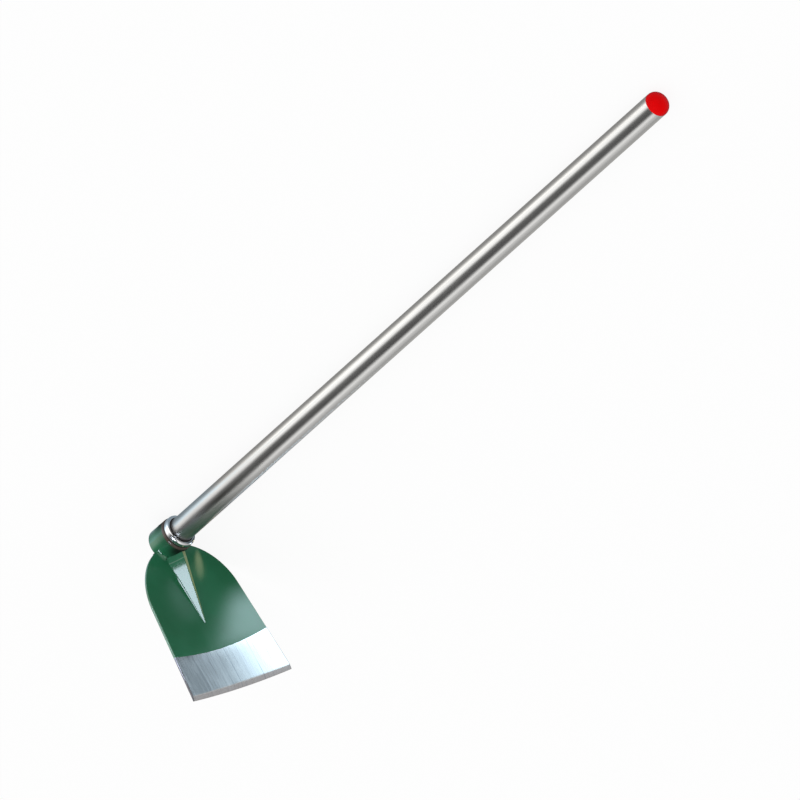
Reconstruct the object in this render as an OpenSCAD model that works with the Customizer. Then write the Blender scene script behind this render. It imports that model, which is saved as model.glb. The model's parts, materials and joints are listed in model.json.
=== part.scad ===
// Hand eye hoe: a wide steel blade on a welded eye, with a steel tube for a handle.
// Millimetres. The hoe lies on a floor at z = 0, on one shoulder of the blade, the rim
// of the eye and the end cap. The handle runs along +X and the cutting edge points up.

/* [Handle] */
// Outside diameter of the handle tube
tube_d = 32; // [30:0.5:34]
// Wall of the handle tube
tube_wall = 1; // [0.8:0.1:2]
// Length of tube that shows, from the collar's lip to the end cap
grip_len = 1000; // [700:5:1300]
// Length of the hardwood core in the tube's lower end
core_len = 120; // [60:5:200]

/* [End cap] */
// Height of the dome
dome_h = 14; // [8:0.5:16]
// Length of the spigot that plugs the tube
spigot_len = 28; // [15:1:45]

/* [Eye] */
// Outside diameter of the eye
eye_d = 45; // [43:0.5:50]
// Wall of the eye
eye_wall = 3; // [2.5:0.25:3.5]
// Height of the eye in front of the blade
eye_h = 25; // [20:1:30]
// How far the eye stands out behind the blade
eye_back = 6; // [4:0.5:9]

/* [Collar] */
// Outside diameter of the collar
collar_d = 42.5; // [41:0.5:43]
// Height of the collar in front of the eye
collar_h = 8; // [6:0.5:12]
// Thickness of the packing between the collar and the tube
packing_t = 1.2; // [0.8:0.1:1.5]

/* [Blade] */
// Thickness of the blade
blade_t = 3; // [2.5:0.25:4]
// Radius of the rounded shoulders
shoulder_r = 80; // [76:1:84]
// Distance from the eye's axis down to the middle of the rounded shoulders
shoulder_drop = 83; // [80:1:90]
// Width at the cutting edge
edge_w = 184; // [170:1:200]
// Distance from the eye's axis down to the corners of the cutting edge
edge_drop = 199; // [180:1:230]
// How far the middle of the cutting edge stands below its corners
edge_bow = 2; // [1:0.5:6]
// Radius of the blade's hollow across its width
camber_r = 1600; // [1200:50:3000]
// Height of the ground bevel at the corners
bevel_h = 6; // [3:0.5:8]
// Angle of the ground bevel
bevel_angle = 16; // [12:1:20]
// Angle between the handle and the blade
set_angle = 94; // [90:0.5:96]

/* [Rib] */
// Distance from the eye's axis down to the rib's point
rib_drop = 110; // [90:1:125]
// Width of the rib's foot where it meets the eye
rib_w = 28; // [18:1:30]
// Height of the rib where it meets the eye
rib_h = 22; // [16:0.5:25]
// Width of the flat along the rib's crest, at the eye
crest_w = 6; // [3:0.5:8]
// How far the rib leans off the middle of the blade
rib_lean = 3; // [0:0.5:5]

/* [Hidden] */
$fn = 96;
big_fn = 1440;             // for the arcs of more than a metre's radius

// Places along the handle's axis, from the front face of the blade
lip_x = eye_h + collar_h;
joint_x = lip_x + grip_len;
tube_start = -eye_back + 1;
packing_start = -eye_back + 2;
mouth_gap = 2;             // depth of the open gap between the tube and the lip
gap = 0.05;                // slip clearance between nested sleeves
neck_drop = 0.3;           // how much smaller in radius the tube is inside the eye

tube_r = tube_d / 2;
neck_r = tube_r - neck_drop;
bore_r = tube_r - tube_wall;
eye_r = eye_d / 2;
eye_bore_r = eye_r - eye_wall;
packing_r = tube_r + packing_t;
cap_r = tube_r - 0.05;

// The screw on the side of the eye away from the blade
screw_x = 9;
screw_d = 5;
screw_head_d = 9;
screw_len = 22;
pilot_gap = 0.25;

wedge_w = 20;              // across the core
wedge_len = 32;
wedge_t = 3;

weld_h = 4;                // leg of the weld beads

// Where the straight sides of the blade meet the rounded shoulders
corner_fall = edge_drop - shoulder_drop;
corner_dist = norm([edge_w / 2, corner_fall]);
flare = acos(shoulder_r / corner_dist) - atan2(corner_fall, edge_w / 2);
edge_r = (pow(edge_w / 2, 2) + pow(edge_bow, 2)) / (2 * edge_bow);
eye_meet = 14;             // angle below level where the shoulders meet the eye

// How the hoe lies: the cap end slopes down and the head is rolled on to one shoulder
lie_slope = atan((eye_r - cap_r) / (joint_x - eye_h));
rest_r = eye_r + eye_h * tan(lie_slope);
lie_roll = asin((shoulder_r - rest_r) / shoulder_drop);

// Middle of the outline seen from above, measured from the eye
blade_back = edge_drop * sin(set_angle - 90) + blade_t;
middle_x = (joint_x + dome_h - blade_back) / 2;
low_corner = edge_drop * cos(lie_roll) + edge_w / 2 * sin(lie_roll);
middle_y = (eye_r - low_corner) / 2;

// Lays the hoe down: its own frame has the blade hanging along -Z
module lie() {
    translate([-middle_x, -middle_y, rest_r * cos(lie_slope)])
        rotate([0, lie_slope, 0])
            rotate([-90 - lie_roll, 0, 0])
                children();
}

// Turns a shape drawn along +Z to lie along the handle
module along_handle(x = 0) {
    translate([x, 0, 0]) rotate([0, 90, 0]) children();
}

// Turns a shape drawn flat to stand in the plane of the blade
module on_blade() {
    rotate([0, set_angle - 90, 0]) children();
}

module ring(r_out, r_in, h) {
    difference() {
        cylinder(r = r_out, h = h);
        translate([0, 0, -1]) cylinder(r = r_in, h = h + 2);
    }
}

// Hole of the screw, or its shank, standing out along +Z from the handle's axis
module screw_shape(d, head_d, from, to) {
    head_h = (head_d - screw_d) / 2;
    translate([screw_x, 0, 0]) {
        translate([0, 0, from]) cylinder(d = d, h = to - from - head_h);
        translate([0, 0, to - head_h]) cylinder(d1 = d, d2 = head_d, h = head_h);
    }
}

module screw_hole() {
    screw_shape(screw_d + 2 * pilot_gap, screw_head_d + 2 * pilot_gap,
                eye_r - screw_len - 0.5, eye_r + 0.5);
}

// A thick block of the blade's outline: rounded shoulders, flared sides, bowed edge
module blade_block(thick) {
    side = [cos(flare), sin(flare)] * shoulder_r - [0, shoulder_drop];
    corner = [edge_w / 2, -edge_drop];
    past = corner + (corner - side) * 0.1;
    union() {
        linear_extrude(thick) translate([0, -shoulder_drop]) circle(r = shoulder_r);
        linear_extrude(thick) intersection() {
            translate([0, edge_r - edge_drop - edge_bow]) circle(r = edge_r, $fn = big_fn);
            polygon([[-side.x, side.y], side, past, [-past.x, past.y]]);
        }
    }
}

// A plate hollowed across its width, cut to the outline and ground along the edge
module blade() {
    reach = edge_drop + edge_bow + 10;
    color("seagreen")
    difference() {
        on_blade() difference() {
            intersection() {
                translate([-2 * blade_t, 0, 0]) rotate([90, 0, 90]) blade_block(4 * blade_t);
                translate([camber_r, 0, -reach])
                    ring(camber_r + blade_t, camber_r, reach + 10, $fn = big_fn);
            }
            translate([0, 0, bevel_h - edge_drop]) rotate([0, bevel_angle, 0])
                translate([camber_r, 0, -bevel_h * 4])
                    cylinder(r = camber_r, h = bevel_h * 4 + 2, $fn = big_fn);
        }
        along_handle(-20) cylinder(r = eye_r, h = 40);
    }
}

// Forged rib, a long wedge from the foot of the eye to a point on the blade
module rib() {
    foot = rib_w / 2;
    crest = crest_w / 2;
    point = 0.8;
    color("seagreen")
    difference() {
        on_blade() rotate([-rib_lean, 0, 0])
        polyhedron(
            points = [
                [0, -foot, -10], [0, foot, -10],
                [rib_h, crest, -10], [rib_h, -crest, -10],
                [0, -point, -rib_drop], [0, point, -rib_drop],
                [0.6, point / 2, -rib_drop], [0.6, -point / 2, -rib_drop]
            ],
            faces = [
                [0, 1, 2, 3], [7, 6, 5, 4],
                [4, 5, 1, 0], [5, 6, 2, 1], [6, 7, 3, 2], [7, 4, 0, 3]
            ]
        );
        along_handle(-20) cylinder(r = eye_r, h = 60);
    }
}

module eye() {
    round_r = 2;
    color("seagreen")
    difference() {
        along_handle() rotate_extrude()
            polygon(concat(
                [[eye_bore_r, -eye_back], [eye_r - 1, -eye_back], [eye_r, -eye_back + 1]],
                [for (a = [0 : 15 : 90])
                    [eye_r - round_r * (1 - cos(a)), eye_h - round_r * (1 - sin(a))]],
                [[eye_bore_r, eye_h]]
            ));
        screw_hole();
    }
}

// Bead around the lower half of the eye, where it stands out of a face along +X
module weld_bead() {
    span = 180 - 2 * eye_meet;
    rotate([0, 90, 0]) rotate([0, 0, -span / 2])
        rotate_extrude(angle = span)
            polygon([[eye_r, 0], [eye_r + weld_h, 0], [eye_r + 0.62 * weld_h, 0.26 * weld_h],
                     [eye_r + 0.26 * weld_h, 0.62 * weld_h], [eye_r, weld_h]]);
}

// In front, the bead stops on each side of the rib
module front_weld() {
    color("seagreen")
    on_blade() difference() {
        weld_bead();
        translate([-1, -rib_w / 2, -eye_r - weld_h - 1]) cube([weld_h + 2, rib_w, eye_r]);
    }
}

module back_weld() {
    color("seagreen")
    on_blade() translate([-blade_t, 0, 0]) mirror([1, 0, 0]) weld_bead();
}

// Steel bush pressed into the eye, with a bright rim that stands in front of it
module collar() {
    rim_r = collar_d / 2;
    sleeve_r = eye_bore_r - gap;
    lip_r = 1.6;
    color("silver")
    difference() {
        along_handle() rotate_extrude()
            polygon(concat(
                [[packing_r, 0], [sleeve_r, 0], [sleeve_r, eye_h], [rim_r, eye_h]],
                [for (a = [0 : 15 : 90])
                    [rim_r - lip_r * (1 - cos(a)), lip_x - lip_r * (1 - sin(a))]],
                [[packing_r + 1, lip_x], [packing_r, lip_x - 1]]
            ));
        screw_hole();
    }
}

// Thin black sleeve that takes up the room between the tube and the collar
module packing() {
    color("black")
    difference() {
        along_handle(packing_start)
            ring(packing_r - gap, neck_r + gap, lip_x - mouth_gap - packing_start);
        screw_hole();
    }
}

// The tube is swaged down a little from the lip inwards, so that it seats in the packing
module handle_tube() {
    color("lightgray")
    difference() {
        along_handle() rotate_extrude()
            polygon([[bore_r, tube_start], [neck_r, tube_start], [neck_r, lip_x],
                     [tube_r, lip_x], [tube_r, joint_x], [bore_r, joint_x]]);
        screw_hole();
    }
}

module handle_core() {
    chamfer = 2;
    core_r = bore_r - gap;
    color("burlywood")
    difference() {
        along_handle(tube_start) union() {
            cylinder(r = core_r, h = core_len - chamfer);
            translate([0, 0, core_len - chamfer])
                cylinder(r1 = core_r, r2 = core_r - chamfer, h = chamfer);
        }
        screw_hole();
        wedge_shape(0.1);
    }
}

// The wedge tapers to a blunt point and lies across the core, level with its end
module wedge_shape(room = 0) {
    half = wedge_t / 2 + room;
    width = wedge_w + 2 * room;
    translate([tube_start - room, 0, -4]) rotate([90, 0, 0])
        linear_extrude(width, center = true)
            polygon([[0, -half], [wedge_len, -0.3 - room], [wedge_len + room, 0],
                     [wedge_len, 0.3 + room], [0, half]]);
}

module core_wedge() {
    color("dimgray") wedge_shape();
}

// Countersunk screw through the eye, collar, packing and tube into the core
module lock_screw() {
    slot_w = 1.2;
    color("gray")
    difference() {
        screw_shape(screw_d, screw_head_d, eye_r - screw_len, eye_r - 0.3);
        translate([screw_x - 6, -slot_w / 2, eye_r - 1.8]) cube([12, slot_w, 4]);
    }
}

// Domed cap whose ribbed spigot grips the inside of the tube
module end_cap() {
    spigot_r = bore_r - 0.6;
    rib_t = 1.6;
    wall = 2.4;
    color("red")
    along_handle(joint_x) {
        rotate_extrude()
            polygon(concat(
                [[0, 0], [cap_r, 0], [cap_r, 1.5]],
                [for (a = [6 : 6 : 90]) [cap_r * cos(a), 1.5 + (dome_h - 1.5) * sin(a)]]
            ));
        translate([0, 0, -spigot_len]) ring(spigot_r, spigot_r - wall, spigot_len + 0.2);
        for (i = [0 : 3])
            translate([0, 0, -5 - i * 6]) ring(bore_r - gap, spigot_r - 1, rib_t);
    }
}

lie() {
    blade();
    rib();
    eye();
    front_weld();
    back_weld();
    collar();
    packing();
    handle_tube();
    handle_core();
    core_wedge();
    lock_screw();
    end_cap();
}
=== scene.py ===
import json
import math
import bmesh
import bpy
from mathutils import Matrix, Vector


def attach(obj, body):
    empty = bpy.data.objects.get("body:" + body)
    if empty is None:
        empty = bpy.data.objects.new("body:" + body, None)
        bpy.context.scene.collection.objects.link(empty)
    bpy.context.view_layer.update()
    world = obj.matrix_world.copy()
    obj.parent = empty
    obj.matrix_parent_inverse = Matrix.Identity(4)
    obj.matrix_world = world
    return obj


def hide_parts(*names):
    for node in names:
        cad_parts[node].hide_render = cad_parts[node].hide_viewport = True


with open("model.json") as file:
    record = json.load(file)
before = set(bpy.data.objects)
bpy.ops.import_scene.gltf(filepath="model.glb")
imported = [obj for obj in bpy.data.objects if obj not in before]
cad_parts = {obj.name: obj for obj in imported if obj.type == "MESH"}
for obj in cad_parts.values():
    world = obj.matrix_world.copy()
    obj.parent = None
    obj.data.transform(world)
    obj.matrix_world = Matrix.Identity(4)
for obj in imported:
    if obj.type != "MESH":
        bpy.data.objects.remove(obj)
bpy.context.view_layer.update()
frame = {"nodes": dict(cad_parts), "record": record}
print("stage: frame loaded")

mm = 0.001

# Driving sizes of the hoe in metres. Its own axes: x along the handle from the front face
# of the blade, y across the blade, z away from the cutting edge.
hoe = {
    "lip": 33 * mm, "grip": 1000 * mm, "tubeR": 16 * mm, "tubeWall": 1 * mm, "neckDrop": 0.3 * mm,
    "eyeR": 22.5 * mm, "eyeWall": 3 * mm, "eyeH": 25 * mm, "eyeBack": 6 * mm,
    "collarR": 21.25 * mm, "packing": 1.2 * mm, "domeH": 14 * mm, "capR": 15.95 * mm,
    "shoulderR": 80 * mm, "shoulderDrop": 83 * mm,
    "setAngle": math.radians(4), "ribLean": math.radians(3),
}
jointX = hoe["lip"] + hoe["grip"]


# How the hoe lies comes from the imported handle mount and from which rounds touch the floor
def layMatrix():
    mount = next(m for m in frame["record"]["mounts"] if m["name"] == "handle")
    axis = Vector(mount["axis"]).normalized()
    slope = math.asin(-axis.z)
    rest = hoe["eyeR"] + hoe["eyeH"] * math.tan(slope)
    roll = math.asin((hoe["shoulderR"] - rest) / hoe["shoulderDrop"])
    start = Vector(mount["pos_m"]) - axis * (hoe["lip"] + hoe["grip"] / 2)
    turn = Matrix.Rotation(slope, 4, "Y") @ Matrix.Rotation(-math.pi / 2 - roll, 4, "X")
    return Matrix.Translation(start) @ turn


lay = layMatrix()
unlay = lay.inverted()
tilt = Matrix.Rotation(hoe["setAngle"], 4, "Y")

# ---- materials: shared tools


def addNode(tree, kind, inputs=None, **settings):
    node = tree.nodes.new(kind)
    for name, value in settings.items():
        setattr(node, name, value)
    for name, value in (inputs or {}).items():
        if isinstance(value, bpy.types.NodeSocket):
            tree.links.new(value, node.inputs[name])
        else:
            node.inputs[name].default_value = value
    return node


def maths(tree, operation, a, b=0.0, c=0.0):
    return addNode(tree, "ShaderNodeMath", {0: a, 1: b, 2: c}, operation=operation).outputs[0]


def remap(tree, value, low, high, toLow=0.0, toHigh=1.0, smooth=True):
    kind = "SMOOTHSTEP" if smooth else "LINEAR"
    node = addNode(tree, "ShaderNodeMapRange", {0: value, 1: low, 2: high, 3: toLow, 4: toHigh},
                   interpolation_type=kind)
    return node.outputs[0]


def mixColour(tree, fac, a, b, blend="MIX"):
    node = addNode(tree, "ShaderNodeMix", {0: fac, 6: a, 7: b}, data_type="RGBA", blend_type=blend)
    return node.outputs[2]


# Object coordinates turned back into the hoe's own axes
def hoeCoords(tree):
    coords = addNode(tree, "ShaderNodeTexCoord")
    place = addNode(tree, "ShaderNodeMapping", {"Vector": coords.outputs["Object"]})
    place.inputs["Location"].default_value = unlay.to_translation()
    place.inputs["Rotation"].default_value = unlay.to_euler()
    return place.outputs[0]


def hoeParts(tree):
    return addNode(tree, "ShaderNodeSeparateXYZ", {0: hoeCoords(tree)}).outputs


def greyOf(tree, value):
    return addNode(tree, "ShaderNodeCombineColor", {0: value, 1: value, 2: value}).outputs[0]


def stretched(tree, vector, scale):
    return addNode(tree, "ShaderNodeMapping", {"Vector": vector, "Scale": scale}).outputs[0]


def noise(tree, vector, scale, detail=3.0, rough=0.55):
    node = addNode(tree, "ShaderNodeTexNoise",
                   {"Vector": vector, "Scale": scale, "Detail": detail, "Roughness": rough})
    return node.outputs["Fac"]


def newGroup(name, sockets):
    group = bpy.data.node_groups.new(name, "ShaderNodeTree")
    for label, way, kind, value in sockets:
        made = group.interface.new_socket(name=label, in_out=way, socket_type=kind)
        if value is not None:
            made.default_value = value
    ends = group.nodes.new("NodeGroupInput"), group.nodes.new("NodeGroupOutput")
    return group, ends[0].outputs, ends[1].inputs


# Fine lines left by a belt: Across lines per metre, drawn out by Length along one axis
def makeBrushGroup(name, along):
    group, given, out = newGroup(name, [
        ("Across", "INPUT", "NodeSocketFloat", 900.0),
        ("Length", "INPUT", "NodeSocketFloat", 12.0),
        ("Fine", "OUTPUT", "NodeSocketFloat", None),
        ("Coarse", "OUTPUT", "NodeSocketFloat", None)])
    across, length = given["Across"], given["Length"]
    shape = {0: length, 1: across, 2: across if along == 0 else length}
    scale = addNode(group, "ShaderNodeCombineXYZ", shape).outputs[0]
    place = addNode(group, "ShaderNodeVectorMath", {0: hoeCoords(group), 1: scale},
                    operation="MULTIPLY").outputs[0]
    group.links.new(noise(group, place, 1.0, 4.0, 0.7), out["Fine"])
    group.links.new(noise(group, place, 0.17, 2.0, 0.5), out["Coarse"])
    return group


# Uneven cleanliness: soft smudges from hands and a few specks of dust
def makeGrimeGroup():
    group, given, out = newGroup("handlingMarks", [
        ("Size", "INPUT", "NodeSocketFloat", 18.0),
        ("Smudge", "OUTPUT", "NodeSocketFloat", None),
        ("Speck", "OUTPUT", "NodeSocketFloat", None)])
    place = hoeCoords(group)
    smudge = noise(group, place, given["Size"], 5.0, 0.6)
    group.links.new(remap(group, smudge, 0.38, 0.68), out["Smudge"])
    speck = noise(group, place, 1400.0, 1.0, 0.4)
    group.links.new(remap(group, speck, 0.74, 0.8), out["Speck"])
    return group


brushAlongHandle = makeBrushGroup("brushedAlongHandle", 0)
brushDownBlade = makeBrushGroup("brushedDownBlade", 2)
handlingMarks = makeGrimeGroup()


def placeGroup(tree, group, **values):
    node = tree.nodes.new("ShaderNodeGroup")
    node.node_tree = group
    for name, value in values.items():
        node.inputs[name].default_value = value
    return node.outputs


def newMaterial(name, **fixed):
    material = bpy.data.materials.new(name)
    material.use_nodes = True
    tree = material.node_tree
    shader = tree.nodes["Principled BSDF"]
    for label, value in fixed.items():
        shader.inputs[label].default_value = value
    return material, tree, shader.inputs


def bump(tree, height, strength, distance, normal=None):
    inputs = {"Height": height, "Strength": strength, "Distance": distance}
    if normal is not None:
        inputs["Normal"] = normal
    return addNode(tree, "ShaderNodeBump", inputs).outputs[0]


# ---- materials: finishes

paint = {
    "deep": (0.013, 0.118, 0.050, 1), "light": (0.019, 0.150, 0.070, 1), "drift": 11.0,
    "dust": (0.20, 0.24, 0.20, 1), "dusty": 0.35, "roughness": 0.16, "smudged": 0.07,
    "coat": 0.5, "coatRoughness": 0.08, "underCoat": 0.10, "ior": 1.5,
    "peel": 0.05, "peelDepth": 0.0004, "peelScale": 420.0, "waveScale": 30.0, "wave": 6.0,
}


# Enamel: a slow drift of colour, orange peel, and thinner colour on smudged patches
def paintLayer(tree):
    place = hoeCoords(tree)
    marks = placeGroup(tree, handlingMarks, Size=14.0)
    drift = remap(tree, noise(tree, place, paint["drift"], 3.0), 0.3, 0.7)
    colour = mixColour(tree, drift, paint["deep"], paint["light"])
    dust = maths(tree, "MULTIPLY", marks["Speck"], paint["dusty"])
    colour = mixColour(tree, dust, colour, paint["dust"])
    rough = maths(tree, "MULTIPLY_ADD", marks["Smudge"], paint["smudged"], paint["roughness"])
    peel = noise(tree, place, paint["peelScale"], 2.0, 0.45)
    slow = noise(tree, place, paint["waveScale"], 2.0, 0.5)
    height = maths(tree, "MULTIPLY_ADD", slow, paint["wave"], peel)
    return colour, rough, height


def newEnamel(name, **fixed):
    return newMaterial(name, **{
        "Coat Roughness": paint["coatRoughness"], "IOR": paint["ior"], **fixed})


def applyEnamel(tree, shader, colour, rough, height):
    tree.links.new(colour, shader["Base Color"])
    tree.links.new(rough, shader["Roughness"])
    peel = bump(tree, height, paint["peel"], paint["peelDepth"])
    tree.links.new(peel, shader["Normal"])


def makeWeldFinish():
    material, tree, shader = newEnamel("greenEnamel", **{"Coat Weight": paint["coat"]})
    applyEnamel(tree, shader, *paintLayer(tree))
    return material


# Distances "off" are measured outwards from the wall of the eye
# Painted highlights: an olive strip along the crest and a pale line across the rib
ribFinish = {
    "crestHalf": 3.4 * mm, "crestTaper": 0.026, "crestShift": 0.5 * mm, "crestSoft": 0.9 * mm,
    "paintedSheen": (0.26, 0.32, 0.15, 1), "sheenStrength": 0.9,
    "dullOff": 8.5 * mm, "glossyOff": 11 * mm, "dullRough": 0.4,
    "lineOff": 6.6 * mm, "lineHalf": 0.8 * mm, "lineCore": 0.2 * mm,
    "line": (0.22, 0.36, 0.28, 1), "glintStrength": 0.45,
}


# Enamel with a painted highlight along the crest, dull near the eye, and one painted highlight line
# across it
def makeRibFinish():
    given = ribFinish
    material, tree, shader = newEnamel("ribSheenEnamel", **{"Specular IOR Level": paint["underCoat"]})
    colour, rough, height = paintLayer(tree)
    part = hoeParts(tree)
    # Painted highlight: an olive strip along the crest
    edge = maths(tree, "MULTIPLY_ADD", part["Z"], given["crestTaper"], given["crestHalf"])
    side = maths(tree, "MULTIPLY_ADD", part["Z"], -math.tan(hoe["ribLean"]), part["Y"])
    side = maths(tree, "ABSOLUTE", maths(tree, "SUBTRACT", side, given["crestShift"]))
    paintedSheen = remap(tree, maths(tree, "SUBTRACT", edge, side), 0.0, given["crestSoft"])
    sheenStrength = maths(tree, "MULTIPLY", paintedSheen, given["sheenStrength"])
    colour = mixColour(tree, sheenStrength, colour, given["paintedSheen"])

    flat = addNode(tree, "ShaderNodeCombineXYZ", {0: part["Y"], 1: part["Z"]}).outputs[0]
    reach = addNode(tree, "ShaderNodeVectorMath", {0: flat}, operation="LENGTH").outputs["Value"]
    off = maths(tree, "SUBTRACT", reach, hoe["eyeR"])
    dull = remap(tree, off, given["dullOff"], given["glossyOff"], 1.0, 0.0)
    dull = maths(tree, "MULTIPLY", dull, maths(tree, "SUBTRACT", 1.0, paintedSheen))
    rough = maths(tree, "MULTIPLY_ADD", dull, given["dullRough"], rough)
    tree.links.new(maths(tree, "SUBTRACT", 1.0, dull), shader["Coat Weight"])
    # Painted highlight: a pale line across the rib at the weld's toe
    fromLine = maths(tree, "ABSOLUTE", maths(tree, "SUBTRACT", off, given["lineOff"]))
    line = remap(tree, fromLine, given["lineHalf"], given["lineCore"])
    line = maths(tree, "MULTIPLY", line, given["glintStrength"])
    applyEnamel(tree, shader, mixColour(tree, line, colour, given["line"]), rough, height)
    return material


# Painted shade under the collar, and a brown band of painted shade at the mouth
eyeFinish = {
    "slant": 0.35, "unshadedUpTo": -6 * mm, "shadedFrom": 14 * mm, "thinShadeSide": -22 * mm,
    "fullShadeSide": -12 * mm, "thinShade": 0.35, "collarShade": (0.003, 0.008, 0.005, 1),
    "shadeStrength": 0.96, "shadeRough": 0.35,
    "rimFrom": 20.5 * mm, "rimTo": 22.5 * mm, "rim": (0.075, 0.056, 0.046, 1),
}


# Enamel with painted shade under the collar, where it is also rougher with less coat, and a brown
# band of painted shade at the mouth
def makeEyeFinish():
    given = eyeFinish
    material, tree, shader = newEnamel("shadedEyeEnamel", **{"Specular IOR Level": paint["underCoat"]})
    colour, rough, height = paintLayer(tree)
    part = hoeParts(tree)
    reach = maths(tree, "MULTIPLY_ADD", part["Y"], given["slant"], part["X"])
    # Painted shade: the enamel darkens towards the collar, less on the -Y side
    collarShade = remap(tree, reach, given["unshadedUpTo"], given["shadedFrom"])
    collarShade = maths(tree, "MULTIPLY", collarShade, remap(
        tree, part["Y"], given["thinShadeSide"], given["fullShadeSide"], given["thinShade"], 1.0))
    shadeAmount = maths(tree, "MULTIPLY", collarShade, given["shadeStrength"])
    colour = mixColour(tree, shadeAmount, colour, given["collarShade"])
    # Painted shade: a brown band at the mouth, carried on from the collar's band
    rim = remap(tree, part["X"], given["rimFrom"], given["rimTo"])
    colour = mixColour(tree, rim, colour, given["rim"])
    rough = maths(tree, "MULTIPLY_ADD", collarShade, given["shadeRough"], rough)
    tree.links.new(maths(tree, "SUBTRACT", 1.0, collarShade), shader["Coat Weight"])
    applyEnamel(tree, shader, colour, rough, height)
    return material


bladeFinish = {
    "lineMid": 146.5 * mm, "lineBow": 7.0 * mm, "halfWidth": 89 * mm, "fade": 0.5 * mm,
    "ragged": 0.9 * mm, "raggedScale": 240.0, "step": 0.6, "stepHeight": 0.00012,
    "bevelTop": 193 * mm, "bevelBow": 1.18 * mm, "bevelHalf": 92 * mm, "bevelSoft": 0.4 * mm,
    "steel": (0.67, 0.69, 0.70, 1), "dull": (0.56, 0.55, 0.56, 1), "steelRough": 0.18,
    "scratch": (0.24, 0.28, 0.33, 1), "scratched": 0.62, "grain": 0.025, "grainDepth": 0.0002,
    # The side strip holds a painted highlight on the paint, and darker steel
    "sideHalf": 72.1 * mm, "sideFlare": 0.100, "sideFrom": -1.5 * mm, "sideTo": -0.5 * mm,
    "sideSteel": (0.20, 0.20, 0.22, 1), "sidePaint": (0.22, 0.34, 0.27, 1), "sideSheen": 0.55,
}


# Enamel down to a bowed line, then bare steel ground down the blade, then the ground bevel
def makeBladeFinish():
    given = bladeFinish
    material, tree, shader = newEnamel("bladeFinish")
    colour, rough, height = paintLayer(tree)
    part = hoeParts(tree)
    down = maths(tree, "MULTIPLY", part["Z"], -1.0)
    bow = given["lineBow"] / given["halfWidth"] ** 2
    square = maths(tree, "MULTIPLY", part["Y"], part["Y"])
    line = maths(tree, "MULTIPLY_ADD", square, -bow, given["lineMid"])
    ragged = noise(tree, hoeCoords(tree), given["raggedScale"], 3.0, 0.6)
    past = maths(tree, "SUBTRACT", down, line)
    past = maths(tree, "MULTIPLY_ADD", ragged, given["ragged"], past)
    bare = remap(tree, past, 0.0, given["fade"])

    lines = placeGroup(tree, brushDownBlade, Across=1500.0, Length=16.0)
    wide = placeGroup(tree, brushDownBlade, Across=420.0, Length=7.0)
    marks = placeGroup(tree, handlingMarks, Size=30.0)
    edgeBow = given["bevelBow"] / given["bevelHalf"] ** 2
    edgeLine = maths(tree, "MULTIPLY_ADD", square, edgeBow, -given["bevelBow"])
    bevel = remap(tree, maths(tree, "ADD", down, edgeLine), given["bevelTop"],
                  given["bevelTop"] + given["bevelSoft"])
    steel = mixColour(tree, bevel, given["steel"], given["dull"])
    scratch = maths(tree, "MULTIPLY", remap(tree, wide["Fine"], 0.55, 0.68), given["scratched"])
    steel = mixColour(tree, scratch, steel, given["scratch"])
    shade = remap(tree, lines["Fine"], 0.35, 0.65, 0.93, 1.04)
    steel = mixColour(tree, 1.0, steel, greyOf(tree, shade), "MULTIPLY")
    steelRough = maths(tree, "MULTIPLY_ADD", lines["Coarse"], 0.16, given["steelRough"] - 0.08)
    steelRough = maths(tree, "MULTIPLY_ADD", bevel, 0.12, steelRough)
    steelRough = maths(tree, "MULTIPLY_ADD", marks["Smudge"], 0.05, steelRough)

    # Along the straight sides the paint gets a paler painted highlight, and the bare steel is
    # darker in the same strip
    toSide = maths(tree, "MULTIPLY_ADD", down, given["sideFlare"], given["sideHalf"])
    nearSide = maths(tree, "SUBTRACT", maths(tree, "ABSOLUTE", part["Y"]), toSide)
    sideBand = remap(tree, nearSide, given["sideFrom"], given["sideTo"])
    steel = mixColour(tree, sideBand, steel, given["sideSteel"])
    paintedSheen = maths(tree, "MULTIPLY", sideBand, given["sideSheen"])
    colour = mixColour(tree, paintedSheen, colour, given["sidePaint"])
    rough = maths(tree, "MULTIPLY_ADD", sideBand, 0.3, rough)
    steelRough = maths(tree, "MULTIPLY_ADD", sideBand, 0.25, steelRough)
    tree.links.new(mixColour(tree, bare, colour, steel), shader["Base Color"])
    tree.links.new(bare, shader["Metallic"])
    covered = maths(tree, "MAXIMUM", bare, sideBand)
    coat = maths(tree, "MULTIPLY_ADD", covered, -paint["coat"], paint["coat"])
    tree.links.new(coat, shader["Coat Weight"])
    blendRough = addNode(tree, "ShaderNodeMix", {0: bare, 2: rough, 3: steelRough})
    tree.links.new(blendRough.outputs[0], shader["Roughness"])
    step = bump(tree, bare, given["step"], given["stepHeight"])
    peel = maths(tree, "MULTIPLY", height, maths(tree, "SUBTRACT", 1.0, bare))
    peeled = bump(tree, peel, paint["peel"], paint["peelDepth"], step)
    grain = maths(tree, "MULTIPLY", maths(tree, "ADD", lines["Fine"], wide["Fine"]), bare)
    ground = bump(tree, grain, given["grain"], given["grainDepth"], peeled)
    tree.links.new(ground, shader["Normal"])
    return material


tubeFinish = {
    "colour": (0.63, 0.625, 0.61, 1), "roughness": 0.20, "grain": 0.10, "grainDepth": 0.0002,
    "headShadeColour": (0.28, 0.27, 0.25, 1), "headShadeFrom": 0.02, "headShadeTo": 0.36, "headShadeStrength": 0.40,
}


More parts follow.
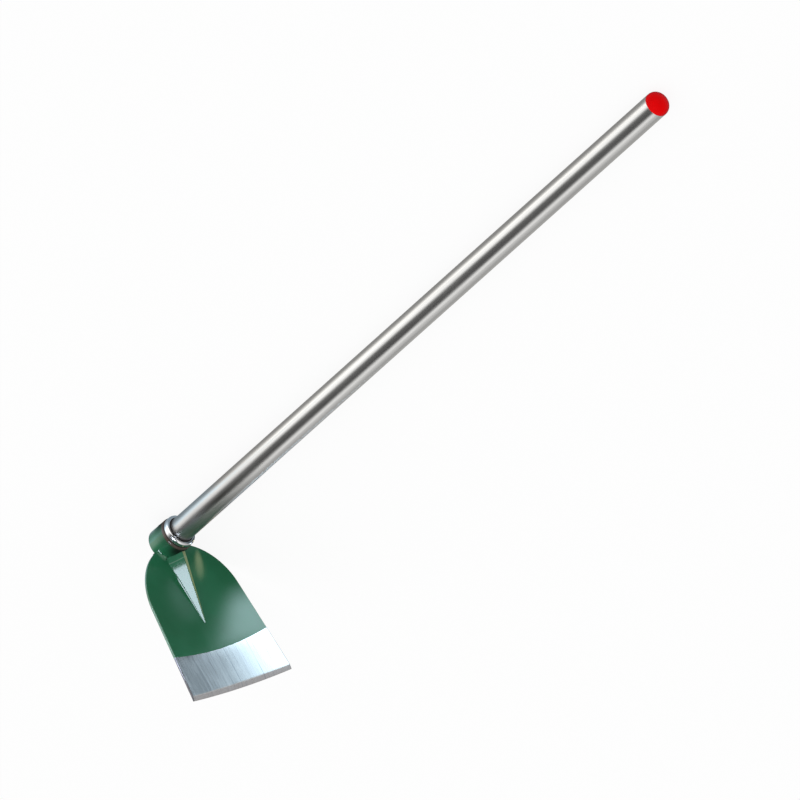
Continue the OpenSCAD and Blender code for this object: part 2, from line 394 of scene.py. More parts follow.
# Brushed along its length, with painted shade that darkens it towards the head, where it is also
# rougher
def makeTubeFinish():
    given = tubeFinish
    material, tree, shader = newMaterial("brushedTube", **{"Metallic": 1.0})
    lines = placeGroup(tree, brushAlongHandle, Across=1300.0, Length=6.0)
    marks = placeGroup(tree, handlingMarks, Size=9.0)
    shade = remap(tree, lines["Fine"], 0.3, 0.7, 0.90, 1.05)
    colour = mixColour(tree, 1.0, given["colour"], greyOf(tree, shade), "MULTIPLY")
    # Painted shade: darker and rougher towards the head
    headShade = remap(tree, hoeParts(tree)["X"], given["headShadeFrom"], given["headShadeTo"],
                 given["headShadeStrength"], 0.0)
    tree.links.new(mixColour(tree, headShade, colour, given["headShadeColour"]), shader["Base Color"])
    rough = maths(tree, "MULTIPLY_ADD", lines["Coarse"], 0.10, given["roughness"] - 0.05)
    rough = maths(tree, "MULTIPLY_ADD", headShade, 0.25, rough)
    rough = maths(tree, "MULTIPLY_ADD", marks["Smudge"], 0.06, rough)
    tree.links.new(rough, shader["Roughness"])
    grain = bump(tree, lines["Fine"], given["grain"], given["grainDepth"])
    tree.links.new(grain, shader["Normal"])
    return material


collarFinish = {
    "bright": (0.78, 0.78, 0.79, 1), "smudged": (0.62, 0.61, 0.60, 1), "roughness": 0.13,
    "shadeBand": (0.085, 0.066, 0.056, 1), "bandTo": 26.2 * mm, "brightFrom": 27.4 * mm,
    "bandRough": 0.20, "turned": 0.02,
}


# Polished, with a brown band of painted shade next to the eye and faint turning marks
def makeCollarFinish():
    given = collarFinish
    material, tree, shader = newMaterial("polishedCollar", **{"Metallic": 1.0})
    marks = placeGroup(tree, handlingMarks, Size=60.0)
    smudge = maths(tree, "MULTIPLY", marks["Smudge"], 0.5)
    colour = mixColour(tree, smudge, given["bright"], given["smudged"])
    # Painted shade: a dark brown band on the collar's side next to the eye
    shadeBand = remap(tree, hoeParts(tree)["X"], given["bandTo"], given["brightFrom"], 1.0, 0.0)
    tree.links.new(mixColour(tree, shadeBand, colour, given["shadeBand"]), shader["Base Color"])
    rough = maths(tree, "MULTIPLY_ADD", marks["Smudge"], 0.08, given["roughness"])
    rough = maths(tree, "MULTIPLY_ADD", shadeBand, given["bandRough"], rough)
    tree.links.new(rough, shader["Roughness"])
    turned = noise(tree, stretched(tree, hoeCoords(tree), (2600.0, 60.0, 60.0)), 1.0, 2.0)
    tree.links.new(bump(tree, turned, given["turned"], 0.0002), shader["Normal"])
    return material


capFinish = {
    "deep": (0.68, 0.0, 0.001, 1), "light": (0.80, 0.0, 0.001, 1), "edge": (0.30, 0.0, 0.010, 1),
    "edgeBlend": 0.35, "edgeShade": 0.85, "shine": 0.06, "roughness": 0.36, "grain": 0.08,
}


# Matt red plastic, with painted shade that darkens it where the dome turns away from the view
def makeCapFinish():
    given = capFinish
    material, tree, shader = newMaterial("redPlastic", **{
        "IOR": 1.4, "Specular IOR Level": given["shine"]})
    place = hoeCoords(tree)
    marks = placeGroup(tree, handlingMarks, Size=45.0)
    drift = remap(tree, noise(tree, place, 50.0), 0.3, 0.7)
    colour = mixColour(tree, drift, given["deep"], given["light"])
    turned = addNode(tree, "ShaderNodeLayerWeight", {"Blend": given["edgeBlend"]}).outputs["Facing"]
    # Painted shade at the dome's turned-away rim
    edge = remap(tree, turned, 0.18, 0.85, 0.0, given["edgeShade"])
    tree.links.new(mixColour(tree, edge, colour, given["edge"]), shader["Base Color"])
    rough = maths(tree, "MULTIPLY_ADD", marks["Smudge"], 0.10, given["roughness"])
    tree.links.new(rough, shader["Roughness"])
    grain = noise(tree, place, 900.0, 2.0)
    tree.links.new(bump(tree, grain, given["grain"], 0.0003), shader["Normal"])
    return material


packingFinish = {"dark": (0.010, 0.010, 0.011, 1), "light": (0.028, 0.027, 0.026, 1), "grain": 0.2}


def makePackingFinish():
    given = packingFinish
    material, tree, shader = newMaterial("blackPacking", **{"IOR": 1.45})
    grain = noise(tree, hoeCoords(tree), 700.0, 3.0)
    tree.links.new(mixColour(tree, grain, given["dark"], given["light"]), shader["Base Color"])
    tree.links.new(remap(tree, grain, 0.3, 0.7, 0.55, 0.75), shader["Roughness"])
    tree.links.new(bump(tree, grain, given["grain"], 0.0003), shader["Normal"])
    return material


woodFinish = {
    "early": (0.34, 0.19, 0.085, 1), "late": (0.56, 0.36, 0.18, 1), "pore": (0.12, 0.06, 0.03, 1),
    "heart": (0, 0.03, 0.02), "rings": 130.0, "pores": 1500.0, "relief": 0.25,
}


# End grain behind the eye: growth rings round a centre off to one side, with open pores
def makeWoodFinish():
    given = woodFinish
    material, tree, shader = newMaterial("hardwood")
    place = hoeCoords(tree)
    off = addNode(tree, "ShaderNodeMapping", {"Vector": place, "Location": given["heart"],
                                              "Scale": (0.05, 1, 1)}).outputs[0]
    rings = addNode(tree, "ShaderNodeTexWave", {
        "Vector": off, "Scale": given["rings"], "Distortion": 2.5, "Detail": 2.0,
        "Detail Scale": 1.5}, wave_type="RINGS", rings_direction="X").outputs["Fac"]
    pores = noise(tree, stretched(tree, place, (0.08, 1, 1)), given["pores"], 2.0)
    pores = remap(tree, pores, 0.56, 0.66)
    colour = mixColour(tree, rings, given["early"], given["late"])
    colour = mixColour(tree, maths(tree, "MULTIPLY", pores, 0.6), colour, given["pore"])
    tree.links.new(colour, shader["Base Color"])
    tree.links.new(remap(tree, rings, 0.0, 1.0, 0.72, 0.58), shader["Roughness"])
    relief = bump(tree, maths(tree, "SUBTRACT", rings, pores), given["relief"], 0.0003)
    tree.links.new(relief, shader["Normal"])
    return material


darkSteelFinish = {
    "dark": (0.24, 0.235, 0.23, 1), "light": (0.40, 0.385, 0.37, 1), "roughness": 0.32,
    "mill": 0.12,
}


def makeDarkSteelFinish():
    given = darkSteelFinish
    material, tree, shader = newMaterial("darkSteel", **{"Metallic": 1.0})
    marks = placeGroup(tree, handlingMarks, Size=160.0)
    colour = mixColour(tree, marks["Smudge"], given["dark"], given["light"])
    tree.links.new(colour, shader["Base Color"])
    rough = maths(tree, "MULTIPLY_ADD", marks["Smudge"], 0.15, given["roughness"])
    tree.links.new(rough, shader["Roughness"])
    mill = noise(tree, hoeCoords(tree), 800.0, 3.0)
    tree.links.new(bump(tree, mill, given["mill"], 0.0003), shader["Normal"])
    return material


finishes = {
    "weld": makeWeldFinish(), "rib": makeRibFinish(), "eye": makeEyeFinish(),
    "blade": makeBladeFinish(), "tube": makeTubeFinish(),
    "collar": makeCollarFinish(), "cap": makeCapFinish(), "packing": makePackingFinish(),
    "wood": makeWoodFinish(), "darkSteel": makeDarkSteelFinish(),
}
print("stage: finishes made")

# ---- mesh tools

mergeGap = 1e-6  # vertices nearer than this are one


# Turns a finished bmesh into a piece that rides with the hoe, in the row's axes
def finishPiece(bm, name, node, material, sharp, place=None):
    bmesh.ops.remove_doubles(bm, verts=bm.verts, dist=mergeGap)
    bmesh.ops.recalc_face_normals(bm, faces=bm.faces)
    bmesh.ops.transform(bm, matrix=lay @ (place or Matrix.Identity(4)), verts=bm.verts)
    mesh = bpy.data.meshes.new(name)
    bm.to_mesh(mesh)
    bm.free()
    mesh.shade_smooth()
    mesh.set_sharp_from_angle(angle=math.radians(sharp))
    mesh.materials.append(material)
    piece = bpy.data.objects.new(name, mesh)
    bpy.context.scene.collection.objects.link(piece)
    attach(piece, "root")
    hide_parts(node)


# Points of a rounded corner, from one angle to another about a centre, as (x, radius)
def arcPoints(x, r, size, start, end, count):
    angles = [math.radians(start + (end - start) * i / (count - 1)) for i in range(count)]
    return [(x + size * math.cos(a), r + size * math.sin(a)) for a in angles]


# Spins a profile of (x, radius) points about the handle's axis
def spun(profile, steps, angle=360, start=0, closed=True):
    bm = bmesh.new()
    verts = [bm.verts.new((x, 0, r)) for x, r in profile]
    edges = [bm.edges.new(pair) for pair in zip(verts, verts[1:])]
    if closed:
        edges.append(bm.edges.new((verts[-1], verts[0])))
    bmesh.ops.rotate(bm, verts=verts, cent=(0, 0, 0),
                     matrix=Matrix.Rotation(math.radians(start), 3, "X"))
    bmesh.ops.spin(bm, geom=verts + edges, cent=(0, 0, 0), axis=(1, 0, 0), dvec=(0, 0, 0),
                   angle=math.radians(angle), steps=steps, use_merge=angle == 360,
                   use_duplicate=False)
    bmesh.ops.remove_doubles(bm, verts=bm.verts, dist=mergeGap)
    return bm


# Bevels every edge that turns by more than an angle
def softenEdges(bm, width, turn, segments):
    bmesh.ops.recalc_face_normals(bm, faces=bm.faces)
    sharp = [e for e in bm.edges if e.is_manifold and math.degrees(e.calc_face_angle(0)) > turn]
    bmesh.ops.bevel(bm, geom=sharp, offset=width, segments=segments, profile=0.5,
                    affect="EDGES", material=-1, clamp_overlap=False)


# ---- head

bladeShape = {
    "thick": 3 * mm, "edgeHalf": 92 * mm, "edgeDrop": 199 * mm, "edgeBow": 2 * mm,
    "camberR": 1600 * mm, "bevelH": 6 * mm, "bevelTurn": math.radians(16), "topDrop": 6.2 * mm,
    "rim": 0.55 * mm, "rimTurn": 62, "columns": 120, "bowStart": 150 * mm, "eyeCut": 1.4 * mm,
    "bowOnBevel": 0.7, "shoulderRows": 60, "sideRows": 70, "bevelRows": 6,
}


# Half the blade's width at a drop below the eye: rounded shoulders, then straight flared sides
def bladeHalfWidth(drop):
    b, r, low = bladeShape, hoe["shoulderR"], hoe["shoulderDrop"]
    fall = b["edgeDrop"] - low
    flare = math.acos(r / math.hypot(b["edgeHalf"], fall)) - math.atan2(fall, b["edgeHalf"])
    meet = low - r * math.sin(flare)
    if drop < meet:
        return math.sqrt(r * r - (low - drop) ** 2)
    start = r * math.cos(flare)
    return start + (b["edgeHalf"] - start) * (drop - meet) / (b["edgeDrop"] - meet)


# Rows close up towards the top, where the shoulders turn in, and along the ground bevel
def bladeRows(bevelTop):
    b, r, low = bladeShape, hoe["shoulderR"], hoe["shoulderDrop"]
    first = math.acos((low - b["topDrop"]) / r)
    turns = [first + (math.pi / 2 - first) * i / b["shoulderRows"]
             for i in range(b["shoulderRows"])]
    shoulder = [low - r * math.cos(a) for a in turns]
    straight = [low + (bevelTop - low) * i / b["sideRows"] for i in range(b["sideRows"])]
    bevel = [bevelTop + b["bevelH"] * i / b["bevelRows"] for i in range(b["bevelRows"] + 1)]
    return shoulder + straight + bevel


# The bow of the edge is spread over the bare steel, so that the bevel keeps an even height
def makeBlade():
    b = bladeShape
    bevelTop = b["edgeDrop"] - b["bevelH"]
    rows = bladeRows(bevelTop)
    bowAtBevel = b["edgeBow"] / (1 + b["bowOnBevel"])
    bm = bmesh.new()
    bmesh.ops.create_grid(bm, x_segments=b["columns"], y_segments=len(rows) - 1, size=1)
    for v in bm.verts:
        across = v.co.x
        drop = rows[round((1 - v.co.y) / 2 * (len(rows) - 1))]
        half = bladeHalfWidth(drop)
        share = min(1.0, max(0.0, drop - b["bowStart"]) / (bevelTop - b["bowStart"]))
        share += b["bowOnBevel"] * max(0.0, drop - bevelTop) / b["bevelH"]
        drop += bowAtBevel * (1 - across ** 2) * share
        v.co = (0, across * half, -drop)
    inEye = [f for f in bm.faces
             if math.hypot(*f.calc_center_median().yz) < hoe["eyeR"] - b["eyeCut"]]
    bmesh.ops.delete(bm, geom=inEye, context="FACES")
    made = bmesh.ops.extrude_face_region(bm, geom=list(bm.faces))
    back = {g for g in made["geom"] if isinstance(g, bmesh.types.BMVert)}
    for v in bm.verts:
        camber = b["camberR"] - math.sqrt(b["camberR"] ** 2 - v.co.y ** 2)
        line = bevelTop + bowAtBevel * (1 - (v.co.y / b["edgeHalf"]) ** 2)
        ground = max(0.0, -v.co.z - line) * math.tan(b["bevelTurn"])
        v.co.x = camber - (b["thick"] if v in back else ground)
    softenEdges(bm, b["rim"], b["rimTurn"], 3)
    finishPiece(bm, "hoe_blade", "blade", finishes["blade"], 40, tilt)


ribShape = {
    "footHalf": 14 * mm, "crestHalf": 3 * mm, "height": 22 * mm, "head": 10 * mm,
    "eyeCut": 21 * mm, "point": 110 * mm, "pointHalf": 0.8 * mm, "pointHeight": 0.6 * mm,
    "toe": 0.6 * mm, "toeSunk": 0.1 * mm, "under": 0.8 * mm, "ledge": 2.2 * mm,
    "ledgeTaper": 0.8, "lower": 0.10, "stepFrom": 0.22, "stepOver": 0.2, "stepLeast": 0.06,
    "rows": 90,
}
# Places across half of the section, as shares of each strip, from the crest to the foot
ribColumns = {
    "crest": (0, 0.35, 0.7, 0.9, 1.0),
    "facet": (0.02, 0.06, 0.15, 0.3, 0.45, 0.6, 0.75, 0.88, 0.95, 1.0),
    "ledge": (0.15, 0.5, 0.85, 1.0), "lower": (0.1, 0.5, 0.9, 1.0), "toe": (1.0,),
}


# Half of the rib's section: how far out and how high a place on it is, part of the way along
def ribSection(kind, q, along):
    s = ribShape
    footHalf = s["footHalf"] + (s["pointHalf"] - s["footHalf"]) * along
    crestHalf = s["crestHalf"] + (s["pointHalf"] / 2 - s["crestHalf"]) * along
    height = s["height"] + (s["pointHeight"] - s["height"]) * along
    ramp = min(1.0, max(s["stepLeast"], (along - s["stepFrom"]) / s["stepOver"]))
    fallen = 1 - s["lower"] * ramp
    steps = {"crest": (0, 0), "facet": (fallen * q, 0), "ledge": (fallen, q),
             "lower": (fallen + (1 - fallen) * q, 1), "toe": (1, 1)}
    fall, over = steps[kind]
    out = crestHalf * (q if kind == "crest" else 1) + (footHalf - crestHalf) * fall
    out += s["ledge"] * (1 - s["ledgeTaper"] * along) * ramp * over
    if kind == "toe":
        return out + s["toe"], -s["toeSunk"]
    return out, height * (1 - fall)


def makeRib():
    s = ribShape
    half = [(kind, q) for kind, places in ribColumns.items() for q in places]
    columns = [(-1, k, q) for k, q in reversed(half[1:])] + [(1, k, q) for k, q in half]
    bm = bmesh.new()
    bmesh.ops.create_grid(bm, x_segments=len(columns) - 1, y_segments=s["rows"], size=1)
    for v in bm.verts:
        side, kind, q = columns[round((v.co.x + 1) / 2 * (len(columns) - 1))]
        start = math.sqrt(s["eyeCut"] ** 2 - ribSection(kind, q, 0.08)[0] ** 2)
        drop = start + (s["point"] - start) * (1 - v.co.y) / 2
        out, up = ribSection(kind, q, (drop - s["head"]) / (s["point"] - s["head"]))
        v.co = (up + out ** 2 / (2 * bladeShape["camberR"]), side * out, -drop)
    made = bmesh.ops.extrude_face_region(bm, geom=list(bm.faces))
    for g in made["geom"]:
        if isinstance(g, bmesh.types.BMVert):
            g.co.x = -s["under"]
    finishPiece(bm, "hoe_rib", "rib", finishes["rib"], 40,
                tilt @ Matrix.Rotation(-hoe["ribLean"], 4, "X"))


eyeShape = {"mouthGap": 0.25 * mm, "backRound": 0.9 * mm, "mouthRound": 2.2 * mm}


def makeEye():
    h, s = hoe, eyeShape
    inner = h["eyeR"] - h["eyeWall"]
    mouthR = h["eyeR"] - s["mouthGap"]
    back, front = s["backRound"], s["mouthRound"]
    profile = [(-h["eyeBack"], inner)]
    profile += arcPoints(-h["eyeBack"] + back, h["eyeR"] - back, back, 180, 90, 5)
    profile += arcPoints(h["eyeH"] - front, mouthR - front, front, 90, 0, 8)
    profile += [(h["eyeH"], inner)]
    finishPiece(spun(profile, 160), "eye_socket", "eye", finishes["eye"], 50)


# The angles that a bead covers are measured from straight down the blade
weldShape = {
    "leg": 4 * mm, "foot": 7 * mm, "sunk": 0.4 * mm, "inEye": 0.3 * mm, "full": 0.95,
    "toe": 1.05, "ribHalf": 14 * mm, "meet": 15.0, "ripple": 0.06 * mm, "pitch": 8.8,
}


# A concave fillet with faint ripples
def weldBead(start, end, side, base):
    w = weldShape
    r = hoe["eyeR"] - w["inEye"]
    sunk = base - side * w["sunk"]
    profile = [(sunk, r + w["foot"] * w["toe"])]
    for i in range(9):
        a = math.radians(90 * i / 8)
        profile.append((base + side * w["leg"] * (1 - math.cos(a)) * w["full"],
                        r + w["foot"] * (1 - math.sin(a)) * w["full"]))
    profile.append((sunk, r))
    steps = max(24, int(abs(end - start) * 1.2))
    bm = spun(profile, steps, end - start, start + 180)
    rings = [e for e in bm.edges if e.is_boundary]
    bmesh.ops.holes_fill(bm, edges=rings, sides=0)
    for v in bm.verts:
        turn = math.atan2(v.co.y, -v.co.z)
        lift = w["ripple"] * math.sin(turn * 360 / w["pitch"])
        v.co.x += side * lift * 0.6
        reach = math.hypot(v.co.y, v.co.z)
        if reach > r + 0.2 * mm:
            v.co.y *= 1 + lift / reach
            v.co.z *= 1 + lift / reach
    return bm


def joined(meshes):
    whole = bmesh.new()
    for bm in meshes:
        part = bpy.data.meshes.new("part")
        bm.to_mesh(part)
        bm.free()
        whole.from_mesh(part)
        bpy.data.meshes.remove(part)
    return whole


def makeWelds():
    ribEdge = math.degrees(math.asin(weldShape["ribHalf"] / hoe["eyeR"]))
    low = 90 - weldShape["meet"]
    front = joined([weldBead(-low, -ribEdge, 1, 0), weldBead(ribEdge, low, 1, 0)])
    finishPiece(front, "front_weld_bead", "front_weld", finishes["weld"], 50, tilt)
    back = weldBead(-low, low, -1, -bladeShape["thick"])
    finishPiece(back, "back_weld_bead", "back_weld", finishes["weld"], 50, tilt)


collarShape = {"lipRound": 3.0 * mm, "boreRound": 0.8 * mm, "chamfer": 0.3 * mm, "gap": 0.05 * mm}


def makeCollar():
    h, s = hoe, collarShape
    bore = h["tubeR"] + h["packing"]
    sleeve = h["eyeR"] - h["eyeWall"] - s["gap"]
    lip, inside = s["lipRound"], s["boreRound"]
    profile = [(0, bore), (0, sleeve), (h["eyeH"], sleeve),
               (h["eyeH"], h["collarR"] - s["chamfer"]), (h["eyeH"] + s["chamfer"], h["collarR"])]
    profile += arcPoints(h["lip"] - lip, h["collarR"] - lip, lip, 90, 0, 12)
    profile += arcPoints(h["lip"] - inside, bore + inside, inside, 360, 270, 5)
    finishPiece(spun(profile, 192), "steel_collar", "collar",
                finishes["collar"], 40)


packingShape = {"gap": 0.05 * mm, "start": 2 * mm, "belowLip": 0.7 * mm, "round": 0.4 * mm}


def makePacking():
    h, s = hoe, packingShape
    inner = h["tubeR"] - h["neckDrop"] + s["gap"]
    outer = h["tubeR"] + h["packing"] - s["gap"]
    start, top = -h["eyeBack"] + s["start"], h["lip"] - s["belowLip"]
    profile = [(start, inner), (start, outer)]
    profile += arcPoints(top - s["round"], outer - s["round"], s["round"], 90, 0, 4)
    profile += [(top, inner)]
    finishPiece(spun(profile, 128), "packing_sleeve", "packing",
                finishes["packing"], 50)


# ---- handle

tubeShape = {"start": 1 * mm, "chamfer": 0.2 * mm, "neckStep": 0.6 * mm, "endChamfer": 0.25 * mm,
             "lengths": 24}


# The tube is drawn in a little where it sits in the eye, and cut into lengths for shading
def makeTube():
    h, s = hoe, tubeShape
    start = -h["eyeBack"] + s["start"]
    inner = h["tubeR"] - h["tubeWall"]
    neck = h["tubeR"] - h["neckDrop"]
    end = s["endChamfer"]
    profile = [(start, inner), (start, neck - s["chamfer"]), (start + s["chamfer"], neck),
               (h["lip"] - s["neckStep"], neck), (h["lip"] + s["neckStep"], h["tubeR"]),
               (jointX - end, h["tubeR"]), (jointX, h["tubeR"] - end), (jointX, inner)]
    bm = spun(profile, 192)
    for i in range(1, s["lengths"]):
        bmesh.ops.bisect_plane(bm, geom=bm.verts[:] + bm.edges[:] + bm.faces[:],
                               plane_co=(h["lip"] + h["grip"] * i / s["lengths"], 0, 0),
                               plane_no=(1, 0, 0))
    finishPiece(bm, "steel_tube", "handle_tube", finishes["tube"], 40)


capShape = {
    "rim": 1.5 * mm, "spigotGap": 0.6 * mm, "wall": 2.4 * mm, "spigot": 28 * mm,
    "chamfer": 0.4 * mm, "ribs": 4, "ribStart": 5 * mm, "ribPitch": 6 * mm, "ribWide": 1.6 * mm,
    "ribGap": 0.05 * mm, "ribSlope": 0.6 * mm, "domeSteps": 24,
    "rimCorner": ((0, 0.35 * mm), (0.12 * mm, 0.12 * mm), (0.4 * mm, 0)),
}


# The dome, and a hollow spigot with grip ribs inside the tube
def makeCap():
    h, c = hoe, capShape
    bore = h["tubeR"] - h["tubeWall"]
    spigotR, end = bore - c["spigotGap"], jointX - c["spigot"]
    profile = [(jointX, 0), (jointX, spigotR - c["wall"]), (end, spigotR - c["wall"]),
               (end, spigotR - c["chamfer"]), (end + c["chamfer"], spigotR)]
    for i in reversed(range(c["ribs"])):
        x = jointX - c["ribStart"] - i * c["ribPitch"]
        tip = bore - c["ribGap"]
        profile += [(x, spigotR), (x + c["chamfer"], tip),
                    (x + c["ribWide"] - c["ribSlope"], tip), (x + c["ribWide"], spigotR)]
    profile += [(jointX, spigotR)]
    profile += [(jointX + dx, h["capR"] - dr) for dx, dr in c["rimCorner"]]
    dome = h["domeH"] - c["rim"]
    for i in range(c["domeSteps"] + 1):
        a = math.pi / 2 * i / c["domeSteps"]
        profile.append((jointX + c["rim"] + dome * math.sin(a), h["capR"] * math.cos(a)))
    bm = spun(profile, 160, closed=False)
    finishPiece(bm, "end_cap_dome", "end_cap", finishes["cap"], 40)


makeBlade()
makeRib()
makeEye()
makeWelds()
makeCollar()
makePacking()
print("stage: head made")
makeTube()
makeCap()
# The hidden core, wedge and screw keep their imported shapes
hiddenPieces = {"handle_core": "wood", "core_wedge": "darkSteel", "lock_screw": "darkSteel"}
for node, key in hiddenPieces.items():
    mesh = frame["nodes"][node].data
    mesh.materials.clear()
    mesh.materials.append(finishes[key])
print("stage: handle made")

# ---- studio

studio = {
    "azimuth": 118.93, "elevation": 42.31, "roll": -170.89, "distance": 30.0, "shown": 0.97561,
    "aim": (-0.26414, -0.05880, -0.13839), "clipNear": 1.0, "clipFar": 200.0,
    "floorSize": 60.0, "floorGrey": (0.9, 0.9, 0.9, 1), "floorGlow": 0.90, "floorBounce": 0.8,
    "white": (1, 1, 1, 1),
}


# A long lens far away, turned about its own axis so that the head hangs at the lower left
def makeCamera():
    s = studio
    data = bpy.data.cameras.new("camera")
    data.lens = data.sensor_width * s["distance"] / s["shown"]
    data.clip_start, data.clip_end = s["clipNear"], s["clipFar"]
    camera = bpy.data.objects.new("camera", data)
    bpy.context.scene.collection.objects.link(camera)
    turn = (Matrix.Rotation(math.radians(s["azimuth"]), 4, "Z")
            @ Matrix.Rotation(math.radians(90 - s["elevation"]), 4, "X")
            @ Matrix.Rotation(math.radians(s["roll"]), 4, "Z"))
    camera.matrix_world = (Matrix.Translation(Vector(s["aim"])) @ turn
                           @ Matrix.Translation((0, 0, s["distance"])))
    bpy.context.scene.camera = camera


# What the polished parts see in the floor: a pale sheet on the far side of the handle, and
# patches that show up on the blade at (across, down), measured in metres from the eye.
# A pair of places is where a patch of light begins and where it is full.
floorLight = {
    "acrossFrom": (-1.499, -0.856, -0.678), "downFrom": (0.232, -0.706, 0.169),
    "open": 0.52, "shade": 0.06, "shadeSides": (0.17, 0.11), "shadeTop": (0.0, 0.03),
    "glow": 3.6, "glowLean": (0.012, 0.066), "glowFrom": (0.068, 0.112), "leanFrom": 0.10,
    "left": {"place": (-0.030, 0.076), "size": (0.030, 0.040), "strength": 0.50},
    "lip": {"place": (-0.090, 0.012), "size": (0.030, 0.028), "strength": 1.3},
    "streak": {"place": (0.031, 0.039), "size": (0.011, 0.023), "strength": 1.7},
    "streakSlope": 0.717, "streakMid": 0.041, "streakWarm": 0.6,
    "steelLeft": 0.28, "steelRight": 2.6, "steelAcross": (-0.035, 0.07),
    "steelFrom": (0.138, 0.151), "windowSides": (0.19, 0.12), "windowEnd": (0.28, 0.22),
    "handleLine": 0.0921, "sheetLow": 0.33, "sheet": 1.75, "sheetFrom": (0.004, 0.012),
    "sheetAcross": (0.018, 0.13), "again": 0.30,
    "outside": (1.0, 0.99, 0.97, 1), "inside": (0.80, 1.0, 1.14, 1),
}
secondBounce = 1.5  # a glossy depth past this is light that has met two polished surfaces


def greaterOf(tree, value, limit):
    return maths(tree, "GREATER_THAN", value, limit)


# One soft round patch of light on the blade's reflection
def patch(tree, across, down, given):
    steps = [maths(tree, "DIVIDE", maths(tree, "SUBTRACT", where, middle), size)
             for where, middle, size in zip((across, down), given["place"], given["size"])]
    away = maths(tree, "ADD", *[maths(tree, "MULTIPLY", step, step) for step in steps])
    return remap(tree, away, 1.0, 0.05, 0.0, given["strength"])


def blend(tree, fac, a, b):
    return addNode(tree, "ShaderNodeMix", {0: fac, 2: a, 3: b}).outputs[0]


def reflectedFloor(tree):
    given = floorLight
    part = addNode(tree, "ShaderNodeSeparateXYZ", {
        0: addNode(tree, "ShaderNodeTexCoord").outputs["Object"]}).outputs
    across, down = [
        maths(tree, "ADD", maths(tree, "MULTIPLY", part["X"], k[0]),
              maths(tree, "MULTIPLY_ADD", part["Y"], k[1], k[2]))
        for k in (given["acrossFrom"], given["downFrom"])]
    aside = maths(tree, "ABSOLUTE", across)
    inside = maths(tree, "MULTIPLY", remap(tree, aside, *given["shadeSides"]),
                   remap(tree, down, *given["shadeTop"]))
    light = maths(tree, "MULTIPLY_ADD", inside, given["shade"] - given["open"], given["open"])
    lean = maths(tree, "ADD", across, maths(tree, "SUBTRACT", down, given["leanFrom"]))
    glow = maths(tree, "MULTIPLY", remap(tree, lean, *given["glowLean"]),
                 remap(tree, down, *given["glowFrom"], 0.0, given["glow"]))
    light = maths(tree, "ADD", light, glow)
    light = maths(tree, "ADD", light, patch(tree, across, down, given["left"]))
    light = maths(tree, "ADD", light, patch(tree, across, down, given["lip"]))
    steel = remap(tree, across, *given["steelAcross"], given["steelLeft"], given["steelRight"])
    light = blend(tree, remap(tree, down, *given["steelFrom"]), light, steel)
    window = maths(tree, "MULTIPLY", remap(tree, aside, *given["windowSides"]),
                   remap(tree, down, *given["windowEnd"]))
    light = blend(tree, window, given["open"], light)
    slant = maths(tree, "SUBTRACT", down, given["streakMid"])
    upright = maths(tree, "MULTIPLY_ADD", slant, given["streakSlope"], across)
    streak = patch(tree, upright, down, given["streak"])
    beyond = maths(tree, "SUBTRACT", part["Y"], given["handleLine"])
    sheet = remap(tree, beyond, *given["sheetAcross"], given["sheetLow"], given["sheet"])
    light = blend(tree, remap(tree, beyond, *given["sheetFrom"]), light, sheet)
    depth = addNode(tree, "ShaderNodeLightPath").outputs["Glossy Depth"]
    light = blend(tree, greaterOf(tree, depth, secondBounce), light, given["again"])
    tint = mixColour(tree, window, given["outside"], given["inside"])
    cool = mixColour(tree, 1.0, greyOf(tree, light), tint, "MULTIPLY")
    warm = addNode(tree, "ShaderNodeCombineColor", {
        0: streak, 1: streak, 2: maths(tree, "MULTIPLY", streak, given["streakWarm"])}).outputs[0]
    return mixColour(tree, 1.0, cool, warm, "ADD")


def emission(tree, colour, strength):
    return addNode(tree, "ShaderNodeEmission", {"Color": colour, "Strength": strength}).outputs[0]


def stagePiece(name, mesh, surface):
    piece = bpy.data.objects.new(name, mesh)
    bpy.context.scene.collection.objects.link(piece)
    material = bpy.data.materials.new(name)
    material.use_nodes = True
    tree = material.node_tree
    tree.nodes.clear()
    addNode(tree, "ShaderNodeOutputMaterial", {"Surface": surface(tree)})
    mesh.materials.append(material)
    return piece


# The camera sees the floor nearly white with a faint shadow
def floorSurface(tree):
    s = studio
    path = addNode(tree, "ShaderNodeLightPath").outputs
    pale = addNode(tree, "ShaderNodeBsdfDiffuse", {"Color": s["floorGrey"]}).outputs[0]
    seen = addNode(tree, "ShaderNodeMixShader", {
        0: s["floorGlow"], 1: pale, 2: emission(tree, s["white"], 1.0)}).outputs[0]
    other = addNode(tree, "ShaderNodeMixShader", {
        0: path["Is Glossy Ray"], 1: emission(tree, s["white"], s["floorBounce"]),
        2: emission(tree, reflectedFloor(tree), 1.0)}).outputs[0]
    return addNode(tree, "ShaderNodeMixShader", {
        0: path["Is Camera Ray"], 1: other, 2: seen}).outputs[0]


def makeFloor():
    bm = bmesh.new()
    bmesh.ops.create_grid(bm, x_segments=1, y_segments=1, size=studio["floorSize"] / 2)
    mesh = bpy.data.meshes.new("floor")
    bm.to_mesh(mesh)
    bm.free()
    stagePiece("floor", mesh, floorSurface)


# A cool panel seen only in the rib's left facet, cut off below the weld
ribPanel = {
    "middle": (-0.5185, 0.0275, 0.0863), "towards": (0.208, 0.616, 0.760), "away": 0.12,
    "along": (-0.167, -0.764, 0.624), "length": 0.133, "width": 0.09, "strength": 11.5,
    "colour": (0.87, 0.97, 1.14, 1), "gone": 0.22, "full": 0.10,
}


# It dies away for anything that does not face it squarely
def panelSurface(tree):
    given = ribPanel
    facing = addNode(tree, "ShaderNodeLayerWeight", {"Blend": 0.5}).outputs["Facing"]
    strength = remap(tree, facing, given["gone"], given["full"], 0.0, given["strength"])
    return emission(tree, given["colour"], strength)


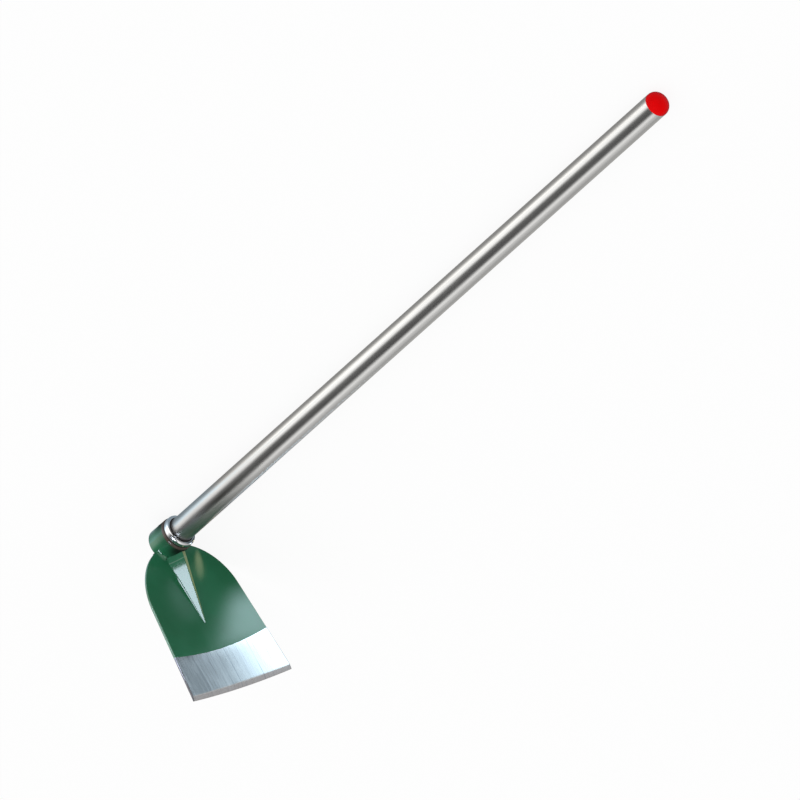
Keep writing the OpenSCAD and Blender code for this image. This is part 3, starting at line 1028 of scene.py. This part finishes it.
def makeRibPanel():
    given = ribPanel
    out = Vector(given["towards"]).normalized()
    along = Vector(given["along"])
    along = (along - out * along.dot(out)).normalized()
    side = out.cross(along)
    turn = Matrix((along, side, out)).transposed().to_4x4()
    bm = bmesh.new()
    bmesh.ops.create_grid(bm, x_segments=1, y_segments=1, size=0.5)
    bmesh.ops.scale(bm, vec=(given["length"], given["width"], 1), verts=bm.verts)
    place = Matrix.Translation(Vector(given["middle"]) + out * given["away"]) @ turn
    bmesh.ops.transform(bm, matrix=place, verts=bm.verts)
    mesh = bpy.data.meshes.new("ribPanel")
    bm.to_mesh(mesh)
    bm.free()
    panel = stagePiece("ribPanel", mesh, panelSurface)
    panel.visible_camera = panel.visible_diffuse = panel.visible_shadow = False


# Bands: the angle round the handle from straight up towards +Y, and the light from there
sky = {
    "bands": [(-90, 0.56), (-73, 0.66), (-61, 0.83), (-49, 0.94), (-37, 1.15), (-27, 1.58),
              (-17, 1.50), (-8, 0.62), (1, 0.17), (11, 0.08), (28, 0.19), (45, 0.14), (54, 0.60),
              (63, 1.35), (73, 2.0), (83, 2.1), (90, 1.85)],
    "againLoss": 0.75, "key": (-0.30, 0.50, 0.81), "keyFrom": -0.2, "soft": 0.80, "bright": 1.45,
}


def makeSky():
    world = bpy.data.worlds.new("studioSky")
    bpy.context.scene.world = world
    world.use_nodes = True
    tree = world.node_tree
    tree.nodes.clear()
    way = addNode(tree, "ShaderNodeTexCoord").outputs["Generated"]
    part = addNode(tree, "ShaderNodeSeparateXYZ", {0: way}).outputs
    turn = maths(tree, "ARCTAN2", part["Y"], part["Z"])
    place = remap(tree, turn, -math.pi / 2, math.pi / 2, smooth=False)
    ramp = addNode(tree, "ShaderNodeValToRGB", {0: place})
    ramp.color_ramp.interpolation = "B_SPLINE"
    stops = ramp.color_ramp.elements
    while len(stops) > 1:
        stops.remove(stops[-1])
    top = max(light for _, light in sky["bands"])
    for i, (angle, light) in enumerate(sky["bands"]):
        stop = stops[0] if i == 0 else stops.new((angle + 90) / 180)
        stop.position = (angle + 90) / 180
        stop.color = (light / top,) * 3 + (1,)
    path = addNode(tree, "ShaderNodeLightPath").outputs
    again = greaterOf(tree, path["Glossy Depth"], secondBounce)
    bands = maths(tree, "MULTIPLY", ramp.outputs[0],
                  maths(tree, "MULTIPLY_ADD", again, -sky["againLoss"] * top, top))
    key = addNode(tree, "ShaderNodeVectorMath", {0: way, 1: Vector(sky["key"])},
                  operation="DOT_PRODUCT").outputs["Value"]
    soft = remap(tree, key, sky["keyFrom"], 1.0, sky["soft"], sky["bright"])
    light = blend(tree, path["Is Glossy Ray"], soft, bands)
    strength = blend(tree, path["Is Camera Ray"], light, 1.0)
    shine = addNode(tree, "ShaderNodeBackground", {"Strength": strength}).outputs[0]
    addNode(tree, "ShaderNodeOutputWorld", {"Surface": shine})


makeCamera()
makeFloor()
makeRibPanel()
makeSky()
scene = bpy.context.scene
scene.view_settings.view_transform = "Standard"
scene.view_settings.look = "None"
print("stage: studio made")
